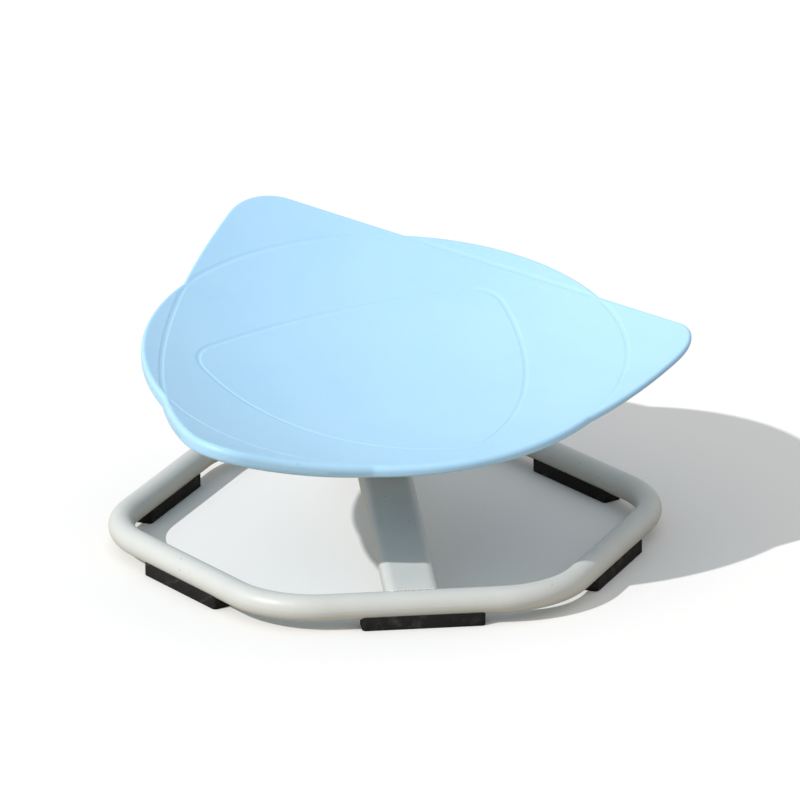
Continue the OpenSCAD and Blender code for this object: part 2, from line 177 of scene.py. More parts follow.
# %% Sizes of the seat
disc_r = 230.5 * MM
triangle = {"mid": 212.5 * MM, "side": 570 * MM, "tip": 55 * MM, "turn": math.radians(169.9)}
small_triangle = {"mid": 135 * MM, "side": 340 * MM, "tip": 40 * MM, "turn": math.radians(229.9)}
bowl_r = 620 * MM
skin_t = 4 * MM
rim_depth = 10 * MM
rim_wall = 4 * MM
pad_depth = 23.5 * MM
groove_w = 4.5 * MM
groove_d = 0.55 * MM
groove_wall, groove_shoulder = 1.5 * MM, 0.9 * MM
groove_fade, groove_full = 3 * MM, 7 * MM


# %% A triangle of arcs, as radii and as distances
def arcs_of(shape):
    """How far the side arcs' centres lie behind the middle, and where the tip circles lie."""
    back = shape["side"] - shape["mid"]
    reach = 4 * (shape["side"] - shape["tip"]) ** 2 - 3 * back * back
    tip_s = (math.sqrt(reach) - back) / 2
    return back, tip_s


def tip_cone(shape):
    """Half the angle that a tip's circle covers, seen from its own centre."""
    back, tip_s = arcs_of(shape)
    return math.atan2(back * math.sin(math.pi / 3), tip_s + back * math.cos(math.pi / 3))


def distance_to_triangle(x, y, shape):
    """Signed distance from a triangle of arcs: negative inside."""
    back, tip_s = arcs_of(shape)
    cone = tip_cone(shape)
    found = np.full(x.shape, -1.0)
    for k in range(3):
        t = shape["turn"] + 2 * math.pi * k / 3
        side = np.hypot(x + back * math.cos(t), y + back * math.sin(t)) - shape["side"]
        found = np.maximum(found, side)
    for k in range(3):
        t = shape["turn"] + math.pi / 3 + 2 * math.pi * k / 3
        px, py = x - tip_s * math.cos(t), y - tip_s * math.sin(t)
        off = np.abs((np.arctan2(py, px) - t + math.pi) % (2 * math.pi) - math.pi)
        found = np.where(off < cone, np.hypot(px, py) - shape["tip"], found)
    return found


def triangle_radius(turn, shape):
    """Radius of the triangle in each direction, by halving the interval."""
    low, high = np.full(turn.shape, 0.5 * shape["mid"]), np.full(turn.shape, 1.6 * shape["mid"])
    for _ in range(40):
        mid = (low + high) / 2
        inside = distance_to_triangle(mid * np.cos(turn), mid * np.sin(turn), shape) < 0
        low, high = np.where(inside, mid, low), np.where(inside, high, mid)
    return (low + high) / 2


steps = 720
turn = np.linspace(0, 2 * math.pi, steps, endpoint=False)
triangle_r = triangle_radius(turn, triangle)
small_r = triangle_radius(turn, small_triangle)
outline_r = np.maximum(triangle_r, disc_r)
print("seat reach", round(float(outline_r.max()) / MM, 1), "mm")

# %% [markdown]
# ## The seat's skin
#
# On the real seat the top is one shallow dish with soft grooves, moulded in one piece with
# a rolled rim. The mesh is a set of rings that follow the outline and the grooves. The
# rings lie close together across each groove and round the rim, and far apart elsewhere,
# so the fine shapes get most of the points.

# %% Heights of the dish
def dish_height(r, depth=0.0):
    """Height of the bowl at a radius, or of the same bowl a given depth under it."""
    return bowl_r - np.sqrt((bowl_r + depth) ** 2 - r * r)


def smooth_step(low, high, value):
    t = np.clip((value - low) / (high - low), 0, 1)
    return t * t * (3 - 2 * t)


def groove_depth(x, y):
    """The three grooves: flat in the middle, with soft walls."""
    to_triangle = distance_to_triangle(x, y, triangle)
    to_disc = np.hypot(x, y) - disc_r
    to_small = distance_to_triangle(x, y, small_triangle)

    def channel(distance):
        off = np.abs(distance + groove_w / 2)
        return 1 - smooth_step(groove_w / 2 - groove_wall, groove_w / 2 + groove_shoulder, off)

    inner = smooth_step(groove_fade, groove_full, -to_disc) * channel(to_triangle)
    outer = smooth_step(groove_fade, groove_full, -to_triangle) * channel(to_disc)
    return groove_d * np.maximum(np.maximum(inner, outer), channel(to_small))


# %% [markdown]
# The rolled edge is fuller at the front and tighter at the back. So its radius changes
# with the direction.

# %% Ring places on the top
def near_turn(degrees, width):
    """1 in one direction, falling smoothly to 0 at a given angle to each side of it."""
    off = np.abs((turn - math.radians(degrees) + math.pi) % (2 * math.pi) - math.pi)
    return 1 - smooth_step(0, math.radians(width), off)


rim_round_back = 2.2 * MM
rim_round_more = 2.8 * MM
rim_round = rim_round_back + rim_round_more * near_turn(255, 125)
edge_slope = np.arctan2(outline_r, np.sqrt(bowl_r ** 2 - outline_r ** 2))
clear_of_roll = 1.2 * MM
rim_start = rim_round * (1 + np.sin(edge_slope)) + clear_of_roll
band = 4.4 * MM
small_mid = small_r - groove_w / 2
groove_mid = np.minimum(np.minimum(triangle_r, disc_r) - groove_w / 2, outline_r - rim_start - band)


def between(start, stop, count, first=1):
    return [start + (stop - start) * i / count for i in range(first, count + 1)]


top_rings = between(0 * turn, small_mid - band, 16)
top_rings += between(small_mid - band, small_mid + band, 20)
top_rings += between(small_mid + band, groove_mid - band, 10)
top_rings += between(groove_mid - band, groove_mid + band, 20)
top_rings += between(groove_mid + band, outline_r - rim_start, 12)
print("rings on top", len(top_rings))

# %% [markdown]
# The rim is a small wall that hangs from the edge of the dish. Its upper edge is rolled
# over and its lower edge is only just eased. At the front left it has a fine step low on
# the wall, like the line that a mould leaves where its halves meet. From the rim's lower
# edge the skin goes back up, and then in along the underside.

# %% The rim's profile
def shifted(r_in, z):
    """A ring that is a given amount inside the outline, at given heights."""
    return outline_r - r_in, z


rim_rings = []
edge_z = dish_height(outline_r)
round_z = edge_z - rim_round * (1 + np.sin(edge_slope)) / np.cos(edge_slope)
for i in range(11):
    at = (math.pi / 2 + edge_slope) * (1 - i / 10)
    rim_rings.append(shifted(rim_round * (1 - np.cos(at)), round_z + rim_round * np.sin(at)))
front_drop = 5 * MM
right_lift = 3.4 * MM
seam_step = 0.45 * MM
# The rim hangs lower at the front left and less low at the right than it does elsewhere.
deeper = front_drop * near_turn(222, 70) - right_lift * near_turn(350, 62)
low_z = dish_height(outline_r, rim_depth) - deeper
seam = seam_step * near_turn(235, 36)
# Millimetres above the rim's low edge, share of the step, and millimetres of easing.
wall_rows = (
    (3.6, 0, 0), (3.3, 1, 0), (3.1, 1, 0), (2.2, 1, 0), (1.3, 1, 0.2), (0.6, 1, 0.6), (0.1, 1, 1.2),
)
for up, below_seam, ease in wall_rows:
    rim_rings.append(shifted(below_seam * seam + ease * MM, low_z + up * MM))
rim_rings.append(shifted(seam + 2.0 * MM, low_z - 0.3 * MM))
under_low = dish_height(outline_r - rim_wall, rim_depth) - deeper
rim_rings.append(shifted(rim_wall - 0.5 * MM, under_low + 0.1 * MM))
rim_rings.append(shifted(rim_wall, under_low + 0.6 * MM))
root_z = dish_height(outline_r - rim_wall, skin_t)
rim_rings.append(shifted(rim_wall, root_z - 1.5 * MM))
rim_rings.append(shifted(rim_wall + 0.5 * MM, root_z - 0.7 * MM))
under_rings = between(outline_r - rim_wall - 1.5 * MM, 0 * turn + 12 * MM, 22, first=0)
print("rings on the rim", len(rim_rings), "and under", len(under_rings))


# %% The skin as one closed mesh
def flat_ring(r, z):
    return np.stack([r * np.cos(turn), r * np.sin(turn), z], axis=1)


rings = []
for r in top_rings:
    x, y = r * np.cos(turn), r * np.sin(turn)
    rings.append(np.stack([x, y, dish_height(r) - groove_depth(x, y)], axis=1))
rings += [flat_ring(r, z) for r, z in rim_rings]
rings += [flat_ring(r, dish_height(r, skin_t)) for r in under_rings]
skin_points, skin_faces = loft([list(map(tuple, ring)) for ring in rings], closed_ends=False)
top_middle, low_middle = len(skin_points), len(skin_points) + 1
skin_points += [(0, 0, 0), (0, 0, float(dish_height(0, skin_t)))]
last = (len(rings) - 1) * steps
for j in range(steps):
    k = (j + 1) % steps
    skin_faces.append((top_middle, k, j))
    skin_faces.append((low_middle, last + j, last + k))
seat = make_piece("seat_shell", skin_points, skin_faces, sharp=40)
print("seat skin", len(seat.data.polygons), "faces, closed", is_closed(seat))

# %% [markdown]
# ## Ribs and the bolt pad under the seat
#
# A thin moulded dish needs ribs. Twelve run outwards from the pad and one ring joins them.
# The pad itself is hollow: two round walls, four bosses for the threaded inserts and four
# short webs. Each is a small solid that starts inside the skin, and all are joined to the
# skin so that the moulding is one closed body.

# %% Ribs
rib_t = 3 * MM
rib_taper = 0.35 * MM
rib_lift, ring_rib_lift = 0.5 * MM, 0.3 * MM
boss_wall = 1.5 * rib_t
press_gap = 0.02 * MM
rib_count = 12
ring_rib_r = 135 * MM
plate_lo, plate_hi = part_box("hub_plate")
plate_r = (plate_hi.x - plate_lo.x) / 2
housing_r = (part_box("hub_housing")[1].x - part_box("hub_housing")[0].x) / 2
sunk = 2 * MM


def rib_solid(direction):
    reach = float(np.interp(direction % (2 * math.pi), turn, outline_r)) - rim_wall / 2
    lift = rib_lift - float(np.interp(direction % (2 * math.pi), turn, np.minimum(deeper, 0)))
    rings = []
    for r in np.linspace(plate_r - rib_t, reach, 14):
        high, low = dish_height(r, skin_t) + sunk, dish_height(r, rim_depth) + lift
        half, thin = rib_t / 2, rib_t / 2 - rib_taper
        section = [(half, high), (-half, high), (-thin, low), (thin, low)]
        c, s = math.cos(direction), math.sin(direction)
        rings.append([(r * c - w * s, r * s + w * c, z) for w, z in section])
    return loft(rings)


def ring_wall(r, low, thickness=rib_t):
    """A round wall from inside the skin down to a height, with its outside at a radius."""
    high = float(dish_height(r - thickness / 2, skin_t)) + sunk
    profile = [(r - thickness, high), (r - thickness, low), (r, low), (r, high)]
    return revolve(profile, 144)


under_parts = [rib_solid(triangle["turn"] + (k + 0.5) * 2 * math.pi / rib_count) for k in range(rib_count)]
ring_low = float(dish_height(ring_rib_r, rim_depth)) + ring_rib_lift
under_parts.append(ring_wall(ring_rib_r + rib_t / 2, ring_low))
under_parts.append(ring_wall(plate_r, -pad_depth))
under_parts.append(ring_wall(housing_r + boss_wall, -pad_depth))
print("ribs and walls", len(under_parts))

# %% Bosses and webs of the pad
bolt_circle_r = 50 * MM
insert_r = 6 * MM
bolt_turns = [(k + 0.5) * math.pi / 2 for k in range(4)]


def boss_solid(at):
    centre = (bolt_circle_r * math.cos(at), bolt_circle_r * math.sin(at))
    high = float(dish_height(bolt_circle_r, skin_t)) + sunk
    outer, bore = insert_r + boss_wall, insert_r + press_gap
    profile = [(bore, high), (bore, -pad_depth), (outer, -pad_depth), (outer, high)]
    points, faces = revolve(profile, 48)
    return [(x + centre[0], y + centre[1], z) for x, y, z in points], faces


def web_solid(at):
    c, s = math.cos(at), math.sin(at)
    rings = []
    for r in (housing_r, plate_r - rib_t / 2):
        high = float(dish_height(r, skin_t)) + sunk
        half = rib_t / 2
        section = [(half, high), (-half, high), (-half, -pad_depth), (half, -pad_depth)]
        rings.append([(r * c - w * s, r * s + w * c, z) for w, z in section])
    return loft(rings)


under_parts += [boss_solid(at) for at in bolt_turns]
under_parts += [web_solid(k * math.pi / 2) for k in range(4)]

# %% Join them to the skin
for points, faces in under_parts:
    tool = make_piece("rib_tool", points, faces)
    combine(seat, tool, "UNION")
seat.data.transform(seat_frame)
crisp(seat, 40)
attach(seat, "turntable")
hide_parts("seat")
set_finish(seat, "seat_plastic")
print("seat", len(seat.data.polygons), "faces, closed", is_closed(seat))

# %% [markdown]
# ## Rubber feet
#
# Each foot is a bar of rubber with rounded corners and eased edges. It is hollowed to
# cradle the tube, and two screws go up through it from wells in its base. The rounded bar
# is lofted first, and then the tube, the wells and, at the two feet under the bar, the
# bar's own weld are cut away.

# %% Sizes taken from the skeleton
ring_lo, ring_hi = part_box("ring_tube")
tube_r = (ring_hi.z - ring_lo.z) / 2
tube_z = (ring_hi.z + ring_lo.z) / 2
flat_r = ring_hi.y - tube_r
foot_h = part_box("foot_front_left")[1].z
foot_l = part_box("foot_rear")[1].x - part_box("foot_rear")[0].x
foot_w = 21 * MM
foot_corner_r = 4 * MM
tube_gap = 0.15 * MM
screw_offset = 42 * MM
well_r, well_depth, screw_hole_r = 4.5 * MM, 4.5 * MM, 2.1 * MM
bar_gap = 0.2 * MM
notch_start, notch_reach = 4 * MM, 20 * MM
foot_turns = {
    "foot_front": 4, "foot_front_right": 5, "foot_rear_right": 0,
    "foot_rear": 1, "foot_rear_left": 2, "foot_front_left": 3,
}
print("tube radius", round(tube_r / MM, 2), "mm at height", round(tube_z / MM, 2), "mm")


# %% One foot
def rounded_bar_ring(inset, z):
    half_w, half_l, r = foot_w / 2 - inset, foot_l / 2 - inset, max(foot_corner_r - inset, MM)
    points = []
    for corner, (sx, sy) in enumerate(((1, 1), (-1, 1), (-1, -1), (1, -1))):
        for i in range(9):
            t = math.pi / 2 * (corner + i / 8)
            points.append((sx * (half_w - r) + r * math.cos(t), sy * (half_l - r) + r * math.sin(t), z))
    return points


def place_on_side(index, along=0.0):
    """From the foot's own frame, X outwards and Y along the tube, to its side of the ring."""
    swing = Matrix.Rotation(math.pi / 3 * (index + 0.5), 4, "Z")
    return swing @ Matrix.Translation((flat_r, along, 0))


def cut_cylinder(piece, radius, low, high, place, count=96):
    rings = [circle_points(radius, low, count), circle_points(radius, high, count)]
    points, faces = loft(rings)
    combine(piece, make_piece("cutter", points, faces, place), "DIFFERENCE")


def make_foot(name):
    index = foot_turns[name]
    lo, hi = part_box(name)
    along = (lo.x + hi.x) / 2 if name == "foot_front" else 0.0
    # Millimetres in and up round the eased lower edge. The upper one is half as large.
    edges = ((0.9, 0), (0.45, 0.12), (0.12, 0.45), (0, 0.9))
    rings = [rounded_bar_ring(inset * MM, z * MM) for inset, z in edges]
    rings += [rounded_bar_ring(inset * MM / 2, foot_h - z * MM / 2) for inset, z in reversed(edges)]
    points, faces = loft(rings)
    place = place_on_side(index, along)
    foot = make_piece(name + "_rubber", points, faces, place)
    lie_down = Matrix.Translation((0, 0, tube_z)) @ Matrix.Rotation(math.pi / 2, 4, "X")
    cut_cylinder(foot, tube_r + tube_gap, -foot_l, foot_l, place @ lie_down, 128)
    for end in (-1, 1):
        well = place @ Matrix.Translation((0, end * screw_offset, 0))
        cut_cylinder(foot, well_r, -MM, well_depth, well, 40)
        cut_cylinder(foot, screw_hole_r, -MM, foot_h + MM, well, 32)
    return foot


# %% A notch for the bar and its weld
def cut_bar_notch(foot, name):
    inward, weld = (1, "front_weld") if name == "foot_front" else (-1, "rear_weld")
    weld_lo, weld_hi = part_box(weld)
    across = weld_hi.x + bar_gap
    near_y = inward * (notch_start - flat_r)
    far_y = near_y + inward * notch_reach
    outline = ((-across, near_y), (across, near_y), (across, far_y), (-across, far_y))
    heights = (weld_lo.z - bar_gap, foot_h + MM)
    points, faces = loft([[(x, y, z) for x, y in outline] for z in heights])
    combine(foot, make_piece("cutter", points, faces), "DIFFERENCE")


# %% All six feet
feet = []
for name in foot_turns:
    foot = make_foot(name)
    if name in ("foot_front", "foot_rear"):
        cut_bar_notch(foot, name)
    crisp(foot, 30)
    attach(foot, "base")
    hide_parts(name)
    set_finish(foot, "foot_rubber")
    feet.append(foot)
print("feet closed", [is_closed(foot) for foot in feet])

# %% [markdown]
# ## Weld beads
#
# A weld is a row of small overlapping puddles. Each bead is a thin rod that follows the
# joint, and its thickness swells and sinks along its length, once for each puddle, with a
# slower swing on top of it. The paint goes over it, so the ripples are soft.

# %% A rippled rod along a closed path
ripple, slow_swing, crown = 0.04, 0.05, 0.10
slow_turns = 21.7


def bead(name, path, outwards, radius, puddle=3.4 * MM):
    """path is a closed list of points, and outwards the direction away from the joint."""
    count = len(path)
    gone, rings = 0.0, []
    around = sum((path[(i + 1) % count] - path[i]).length for i in range(count))
    waves = max(8, round(around / puddle))
    for i in range(count):
        ahead = (path[(i + 1) % count] - path[i - 1]).normalized()
        out = (outwards[i] - ahead * outwards[i].dot(ahead)).normalized()
        side = ahead.cross(out)
        phase = 2 * math.pi * waves * gone / around
        slow_phase = slow_turns * phase / waves
        swell = radius * (1 + ripple * math.sin(phase) + slow_swing * math.sin(slow_phase))
        ring = []
        for j in range(12):
            t = 2 * math.pi * j / 12
            push = crown * radius * max(0.0, math.cos(t)) * math.sin(phase)
            ring.append(path[i] + out * (swell * math.cos(t) + push) + side * swell * math.sin(t))
        rings.append(ring)
        gone += (path[(i + 1) % count] - path[i]).length
    points, faces = loft(rings, loop=True)
    return make_piece(name, points, faces, sharp=80)


# %% Beads where the bar meets the ring
bar_edge_r, bar_h, bar_w = 9 * MM, 2 * tube_r, 50 * MM
end_back = 4 * MM
bar_bead_r, path_step = 1.2 * MM, 0.6 * MM
stand_out, tuck_in, tip_back = 0.25 * MM, 0.1 * MM, 0.6


def bar_outline(count=12):
    """The bar's rounded section as (across, up, outward across, outward up)."""
    found = []
    half_w, half_h = bar_w / 2 - bar_edge_r, bar_h / 2 - bar_edge_r
    for corner, (sx, sy) in enumerate(((1, 1), (-1, 1), (-1, -1), (1, -1))):
        for i in range(count + 1):
            t = math.pi / 2 * (corner + i / count)
            c, s = math.cos(t), math.sin(t)
            found.append((sx * half_w + bar_edge_r * c, sy * half_h + bar_edge_r * s, c, s))
    return found


def resample(values, spacing):
    """Even steps along a closed line of tuples, measured on the first two numbers."""
    line = np.array(values + values[:1])
    run = np.concatenate([[0], np.cumsum(np.hypot(*np.diff(line[:, :2], axis=0).T))])
    where = np.linspace(0, run[-1], int(run[-1] / spacing), endpoint=False)
    return [tuple(np.interp(where[i], run, line[:, c]) for c in range(4)) for i in range(len(where))]


def bar_end_bead(name, slope, heading):
    """slope is the bar's rise, and heading +1 where the bar leaves the tube towards the rear."""
    along = Vector((0, heading * math.cos(slope), math.sin(slope)))
    up = Vector((0, -heading * math.sin(slope), math.cos(slope)))
    start = Vector((0, -heading * flat_r, tube_z))
    path, outwards = [], []
    for across, high, out_across, out_up in resample(bar_outline(), path_step):
        # On the tube's surface, but never nearer to the tube's middle than end_back.
        reach = max(end_back, math.sqrt(max(tube_r ** 2 - high ** 2, 0)))
        out = Vector((1, 0, 0)) * out_across + up * out_up
        at = start + Vector((across, 0, 0)) + up * high + along * reach
        path.append(at + out * stand_out - along * tuck_in)
        outwards.append(out - along * tip_back)
    return bead(name, path, outwards, bar_bead_r)


def rear_slope():
    """The fall of the bar's rear run, read from the largest sloping face of the bar."""
    best = None
    for face in nodes["crossbar"].data.polygons:
        n = face.normal
        if n.y > 0.1 and n.z > 0.5 and abs(n.x) < 0.01 and (best is None or face.area > best.area):
            best = face
    return math.atan2(best.normal.y, best.normal.z)


front_bead = bar_end_bead("front_weld_bead", lean, 1)
rear_bead = bar_end_bead("rear_weld_bead", rear_slope(), -1)
for piece, node in ((front_bead, "front_weld"), (rear_bead, "rear_weld")):
    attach(piece, "base")
    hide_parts(node)
    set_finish(piece, "frame_paint")
print("rear run falls", round(math.degrees(rear_slope()), 2), "degrees, beads closed",
      is_closed(front_bead), is_closed(rear_bead))


# %% Round beads at the post and under the plate
def along_axis(node):
    """Lowest and highest place of a node along the spin axis, from the seat's own origin."""
    back = seat_frame.inverted()
    heights = [(back @ v.co).z for v in nodes[node].data.vertices]
    return min(heights), max(heights)


def round_bead(name, node, radius, height, thickness, body):
    count = 240
    path, outwards = [], []
    for i in range(count):
        t = 2 * math.pi * i / count
        out = Vector((math.cos(t), math.sin(t), 0))
        path.append(out * radius + Vector((0, 0, height)))
        outwards.append(out)
    piece = bead(name, path, outwards, thickness)
    piece.data.transform(seat_frame)
    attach(piece, body)
    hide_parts(node)
    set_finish(piece, "frame_paint")
    return piece


post_low = along_axis("post_weld")[0]
plate_low = along_axis("hub_plate")[0]
post_base_r = 16 * MM
post_bead = round_bead(
    "post_weld_bead", "post_weld",
    radius=post_base_r + 0.4 * MM, height=post_low + 0.7 * MM, thickness=1.7 * MM, body="base",
)
hub_bead = round_bead(
    "hub_weld_bead", "hub_weld",
    radius=housing_r + 0.3 * MM, height=plate_low - 0.6 * MM, thickness=1.6 * MM, body="turntable",
)
print("bead heights", round(post_low / MM, 1), round(plate_low / MM, 1), "mm")

# %% [markdown]
# ## Seat bolts
#
# A hexagon bolt has the corners of its head turned off in a cone at the outer end, and a
# little at the end that meets the washer. A hexagonal prism kept only where it lies inside
# a turned blank has both at once.

# %% Sizes of a bolt
head_h, across_flats, shank_r, shank_l = 5.3 * MM, 13 * MM, 4 * MM, 19 * MM
washer_t = 1.6 * MM
cone_in, cone_h = 0.6 * MM, 1.0 * MM
under_low_h, under_high_h = 0.9 * MM, 0.3 * MM
tip_in, tip_h = 0.8 * MM, 1.0 * MM
past, clear = 0.01 * MM, 0.1 * MM
head_low = plate_low - washer_t - head_h
flat_half = across_flats / 2
corner_r = flat_half / math.cos(math.pi / 6)
print("bolt head", round(head_low / MM, 1), "to", round((head_low + head_h) / MM, 1), "mm on the axis")


# %% One bolt, from a prism, a turned blank and a shank
def stack(rows, count):
    """Circles at given heights over the head's low face, joined into a solid."""
    points, faces = loft([circle_points(r, head_low + up, count) for r, up in rows])
    return make_piece("bolt_part", points, faces)


def make_bolt():
    bolt = stack(((corner_r, 0), (corner_r, head_h)), 6)
    blank = (
        (flat_half - cone_in, -past), (corner_r + clear, cone_h),
        (corner_r + clear, head_h - under_low_h), (flat_half, head_h - under_high_h),
        (flat_half, head_h + past),
    )
    combine(bolt, stack(blank, 96), "INTERSECT")
    shank = (
        (shank_r, head_h / 2), (shank_r, head_h + shank_l - tip_h), (shank_r - tip_in, head_h + shank_l),
    )
    return combine(bolt, stack(shank, 48), "UNION")


# %% Four bolts on their circle
bolt_points, bolt_faces = [], []
for at in bolt_turns:
    bolt = make_bolt()
    centre = Vector((bolt_circle_r * math.cos(at), bolt_circle_r * math.sin(at), 0))
    first = len(bolt_points)
    bolt_points += [centre + v.co for v in bolt.data.vertices]
    bolt_faces += [tuple(first + i for i in face.vertices) for face in bolt.data.polygons]
    bpy.data.objects.remove(bolt)
bolts = make_piece("seat_bolt_set", bolt_points, bolt_faces, seat_frame, sharp=25)
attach(bolts, "turntable")
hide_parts("seat_bolts")
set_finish(bolts, "zinc_plate")
print("bolts closed", is_closed(bolts))

# %% [markdown]
# ## Shared effects
#
# Several finishes need the same few effects: a fine moulded or sprayed grain, slow drifts
# of tone, edges where the finish is rubbed thin, dust that settles on upward faces, small
# dark specks, slanting scuffs and turning marks. Each is a node group that is built once,
# with its own inputs.

# %% A small helper for node groups
def new_group(name, inputs, outputs):
    """inputs and outputs are {name: (socket kind, default)}."""
    tree = bpy.data.node_groups.new(name, "ShaderNodeTree")
    for label, (kind, default) in inputs.items():
        made = tree.interface.new_socket(label, in_out="INPUT", socket_type="NodeSocket" + kind)
        made.default_value = default
    for label, kind in outputs.items():
        tree.interface.new_socket(label, in_out="OUTPUT", socket_type="NodeSocket" + kind)
    return tree, tree.nodes.new("NodeGroupInput"), tree.nodes.new("NodeGroupOutput")


def add(tree, kind, settings=None, **inputs):
    """Adds a node, sets its properties, and sets or links its inputs by name."""
    node = tree.nodes.new("ShaderNode" + kind)
    for key, value in (settings or {}).items():
        setattr(node, key, value)
    for key, value in inputs.items():
        key = key.replace("_", " ")
        socket = node.inputs[int(key[1:])] if key[1:].isdigit() else node.inputs[key]
        if isinstance(value, bpy.types.NodeSocket):
            tree.links.new(value, socket)
        else:
            socket.default_value = value
    return node


def blend_colour(tree, factor, first, second, how="MIX"):
    node = tree.nodes.new("ShaderNodeMix")
    node.data_type, node.blend_type = "RGBA", how
    for index, value in ((0, factor), (6, first), (7, second)):
        if isinstance(value, bpy.types.NodeSocket):
            tree.links.new(value, node.inputs[index])
        else:
            node.inputs[index].default_value = value
    return node.outputs[2]


def maths(tree, how, first, second=0.0, clamp=False):
    node = tree.nodes.new("ShaderNodeMath")
    node.operation, node.use_clamp = how, clamp
    for index, value in ((0, first), (1, second)):
        if isinstance(value, bpy.types.NodeSocket):
            tree.links.new(value, node.inputs[index])
        else:
            node.inputs[index].default_value = value
    return node.outputs[0]


def ramp(tree, value, low, high):
    """0 below low and 1 above high, with soft ends."""
    node = add(tree, "MapRange", {"interpolation_type": "SMOOTHSTEP"}, Value=value)
    node.inputs["From Min"].default_value = low
    node.inputs["From Max"].default_value = high
    return node.outputs["Result"]


# %% [markdown]
# Grain is noise at two sizes in the object's own space, so it doesn't stretch on a curve.
# The fine one and a share of the wide one make the height. The second output is the wide
# one alone, and is there to vary the gloss.

# %% Fine grain
grain, given, out = new_group(
    "fine_grain",
    {"Scale": ("Float", 900.0), "Coarse": ("Float", 0.4)},
    {"Height": "Float", "Tone": "Float"},
)
place = add(grain, "TexCoord").outputs["Object"]
fine = add(grain, "TexNoise", Vector=place, Scale=given.outputs["Scale"], Detail=3.0, Roughness=0.6)
wide_scale = maths(grain, "MULTIPLY", given.outputs["Scale"], 0.22)
wide = add(grain, "TexNoise", Vector=place, Scale=wide_scale, Detail=2.0)
wide_part = maths(grain, "MULTIPLY", wide.outputs["Fac"], given.outputs["Coarse"])
grain.links.new(maths(grain, "ADD", fine.outputs["Fac"], wide_part), out.inputs["Height"])
grain.links.new(wide.outputs["Fac"], out.inputs["Tone"])
print("group", grain.name)

# %% [markdown]
# No real finish is one flat colour. A slow cloud mixes two close tones, so that the change is
# felt rather than seen.

# %% Slow drift of tone
drift, given, out = new_group(
    "tone_drift",
    {"Light": ("Color", (1, 1, 1, 1)), "Dark": ("Color", (0.5, 0.5, 0.5, 1)), "Scale": ("Float", 9.0)},
    {"Color": "Color", "Fac": "Float"},
)
place = add(drift, "TexCoord").outputs["Object"]
cloud = add(drift, "TexNoise", Vector=place, Scale=given.outputs["Scale"], Detail=5.0, Roughness=0.62)
amount = ramp(drift, cloud.outputs["Fac"], 0.32, 0.7)
mixed = blend_colour(drift, amount, given.outputs["Light"], given.outputs["Dark"])
drift.links.new(mixed, out.inputs["Color"])
drift.links.new(amount, out.inputs["Fac"])
print("group", drift.name)

# %% [markdown]
# A softened normal rounds an edge for the light alone. Where it parts from the surface's
# own normal there is an edge, and a noise breaks that line into patches of wear.

# %% Worn and softened edges
worn, given, out = new_group(
    "worn_edges",
    {"Radius": ("Float", 0.0006), "Amount": ("Float", 1.0)},
    {"Mask": "Float", "Normal": "Vector"},
)
soft = add(worn, "Bevel", {"samples": 6}, Radius=given.outputs["Radius"])
true = add(worn, "NewGeometry").outputs["Normal"]
meet = add(worn, "VectorMath", {"operation": "DOT_PRODUCT"}, _0=soft.outputs["Normal"], _1=true)
bend = maths(worn, "SUBTRACT", 1.0, meet.outputs["Value"])
place = add(worn, "TexCoord").outputs["Object"]
patch = add(worn, "TexNoise", Vector=place, Scale=140.0, Detail=4.0)
broken = maths(worn, "MULTIPLY", ramp(worn, bend, 0.01, 0.12), ramp(worn, patch.outputs["Fac"], 0.42, 0.62))
worn.links.new(maths(worn, "MULTIPLY", broken, given.outputs["Amount"], True), out.inputs["Mask"])
worn.links.new(soft.outputs["Normal"], out.inputs["Normal"])
print("group", worn.name)

# %% [markdown]
# Dust lies thickest where a face looks up, and fades towards the underside, in uneven
# clouds.

# %% Dust on faces that look up
dust, given, out = new_group(
    "settled_dust",
    {"Amount": ("Float", 0.5), "Scale": ("Float", 45.0)},
    {"Mask": "Float"},
)
normal = add(dust, "SeparateXYZ", Vector=add(dust, "NewGeometry").outputs["Normal"])
place = add(dust, "TexCoord").outputs["Object"]
cloud = add(dust, "TexNoise", Vector=place, Scale=given.outputs["Scale"], Detail=6.0, Roughness=0.7)
looks_up = ramp(dust, normal.outputs["Z"], -0.4, 0.9)
lies = maths(dust, "MULTIPLY", looks_up, ramp(dust, cloud.outputs["Fac"], 0.38, 0.72))
dust.links.new(maths(dust, "MULTIPLY", lies, given.outputs["Amount"], True), out.inputs["Mask"])
print("group", dust.name)

# %% [markdown]
# Chips and specks are the middles of scattered cells. A share of the cells is picked, and
# a fine wobble makes each speck ragged.

# %% Small dark specks
specks, given, out = new_group(
    "dark_specks",
    {"Scale": ("Float", 70.0), "Size": ("Float", 0.09), "Share": ("Float", 0.12)},
    {"Mask": "Float"},
)
place = add(specks, "TexCoord").outputs["Object"]
wobble = add(specks, "TexNoise", Vector=place, Scale=500.0, Detail=2.0)
moved = add(specks, "VectorMath", {"operation": "SCALE"}, _0=wobble.outputs["Color"], Scale=0.0012)
at = add(specks, "VectorMath", {"operation": "ADD"}, _0=place, _1=moved.outputs["Vector"])
cells = add(specks, "TexVoronoi", Vector=at.outputs["Vector"], Scale=given.outputs["Scale"])
near = maths(specks, "LESS_THAN", cells.outputs["Distance"], given.outputs["Size"])
pick = add(specks, "SeparateColor", Color=cells.outputs["Color"])
some = maths(specks, "LESS_THAN", pick.outputs["Red"], given.outputs["Share"])
specks.links.new(maths(specks, "MULTIPLY", near, some), out.inputs["Mask"])
print("group", specks.name)

# %% [markdown]
# A scuff is noise drawn out along one slanting direction. A second, wider noise keeps the
# scuffs to patches.

